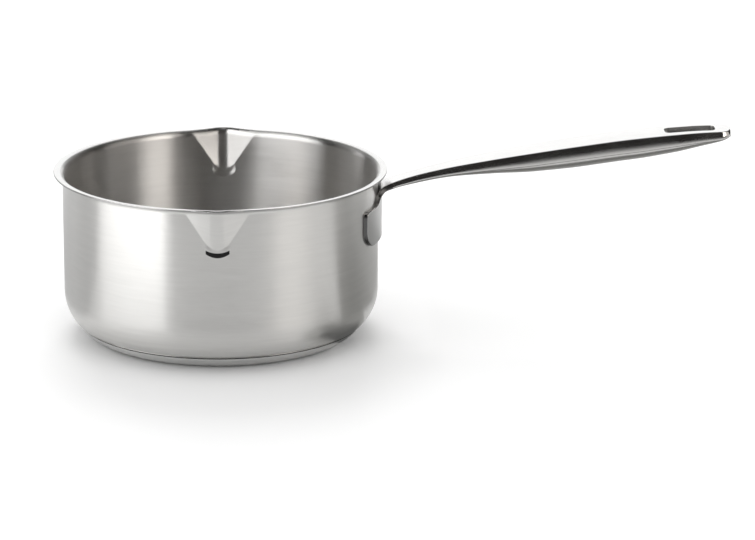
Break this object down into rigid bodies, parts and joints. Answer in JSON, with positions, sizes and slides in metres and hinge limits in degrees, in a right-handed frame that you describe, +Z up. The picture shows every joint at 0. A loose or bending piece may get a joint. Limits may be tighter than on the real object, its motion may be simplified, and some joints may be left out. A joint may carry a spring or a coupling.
{
  "type": "milk pan",
  "caption": "Round stainless steel milk pan with a flared rim, pouring lips on both sides, an encapsulated base and a long hollow handle with a hanging slot.",
  "frame": {"origin": "centre of the flat underside of the base, where the pan rests", "axes": "+Z up along the pan's axis, +X out along the handle, the two pouring lips face +Y and -Y"},
  "size_m": [0.3502, 0.1782, 0.1088],
  "materials": {
    "body_steel": "brushed around the axis",
    "core_aluminium": "plain rolled",
    "cap_steel": "brushed around the axis",
    "handle_steel": "polished satin",
    "weld_steel": "as welded"
  },
  "bodies": {
    "root": {"pan_body": "body_steel", "base_core": "core_aluminium", "base_cap": "cap_steel", "handle": "handle_steel", "handle_welds": "weld_steel"}
  },
  "joints": []
}
